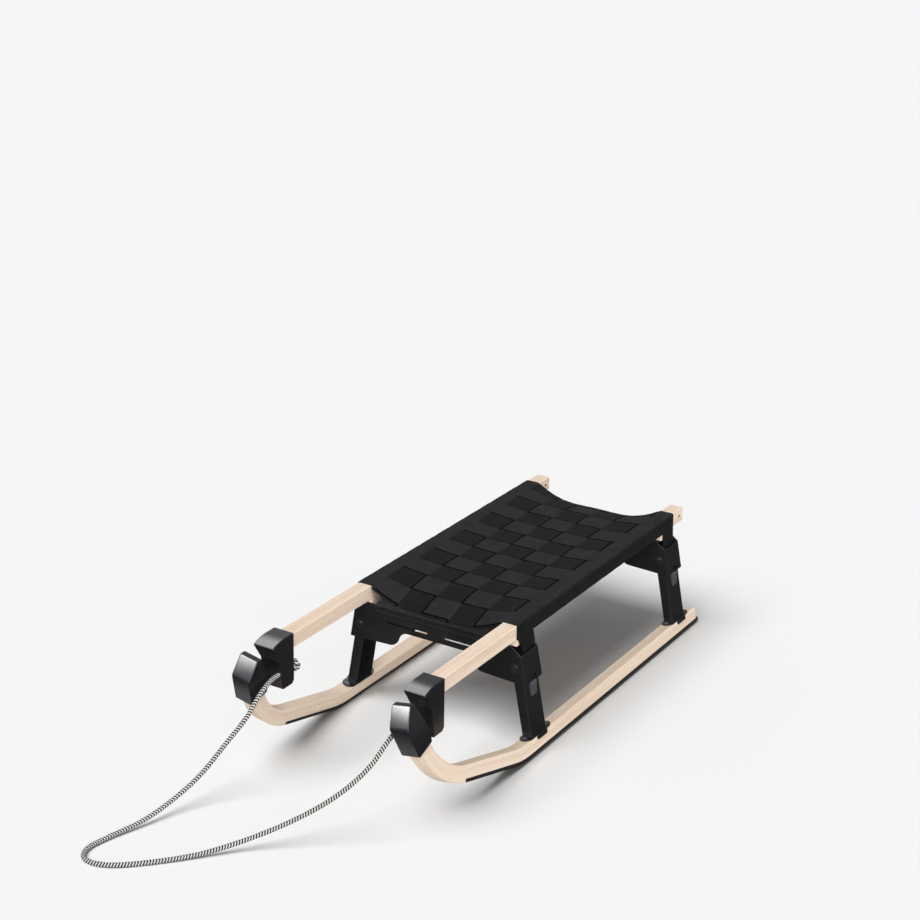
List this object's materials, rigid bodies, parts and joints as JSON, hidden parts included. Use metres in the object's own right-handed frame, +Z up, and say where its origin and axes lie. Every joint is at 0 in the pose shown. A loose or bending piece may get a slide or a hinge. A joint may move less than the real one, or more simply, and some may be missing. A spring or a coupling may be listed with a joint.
{
  "type": "folding wooden sled",
  "caption": "Folding wooden sled with a woven strap seat, steel crossbars, splayed runners on hinged legs that fold in under the seat, capped nose and a tow rope.",
  "frame": {"origin": "on the floor, at the middle of the sled's length and width, the tow rope left out", "axes": "+X towards the nose, +Y to the sled's left, +Z up"},
  "size_m": [1.3466, 0.4674, 0.2525],
  "materials": {
    "beech": "clear satin lacquer on pale beech",
    "black_steel": "semi-gloss black powder coat",
    "zinc_steel": "zinc plated spring steel",
    "cap_plastic": "moulded black plastic with a satin gloss",
    "strip_plastic": "extruded black glide strip",
    "webbing": "black woven polyester webbing",
    "rope": "black and white braided cord"
  },
  "bodies": {
    "frame": {"crossbar_front": "black_steel", "crossbar_rear": "black_steel", "nose_cap_upper_left": "cap_plastic", "nose_cap_upper_right": "cap_plastic", "nose_pin_left": "black_steel", "nose_pin_right": "black_steel", "pivot_pin_front_left": "black_steel", "pivot_pin_front_right": "black_steel", "pivot_pin_rear_left": "black_steel", "pivot_pin_rear_right": "black_steel", "rail_left": "beech", "rail_right": "beech", "seat_webbing": "webbing", "spacer_block_front_left": "beech", "spacer_block_front_right": "beech", "spacer_block_rear_left": "beech", "spacer_block_rear_right": "beech", "tow_knot_left": "rope", "tow_knot_right": "rope", "tow_rope": "rope"},
    "runner_left": {"glide_strip_left": "strip_plastic", "latch_front_left": "zinc_steel", "latch_rear_left": "zinc_steel", "leg_front_left": "black_steel", "leg_rear_left": "black_steel", "nose_cap_lower_left": "cap_plastic", "runner_left": "beech"},
    "runner_right": {"glide_strip_right": "strip_plastic", "latch_front_right": "zinc_steel", "latch_rear_right": "zinc_steel", "leg_front_right": "black_steel", "leg_rear_right": "black_steel", "nose_cap_lower_right": "cap_plastic", "runner_right": "beech"}
  },
  "joints": [
    {"name": "runner_fold_left", "type": "hinge", "parent": "frame", "child": "runner_left", "pos_m": [0, 0.1685, 0.164], "axis": [-1, 0, 0], "range_deg": [0, 96]},
    {"name": "runner_fold_right", "type": "hinge", "parent": "frame", "child": "runner_right", "pos_m": [0, -0.1685, 0.164], "axis": [1, 0, 0], "range_deg": [0, 96]}
  ]
}
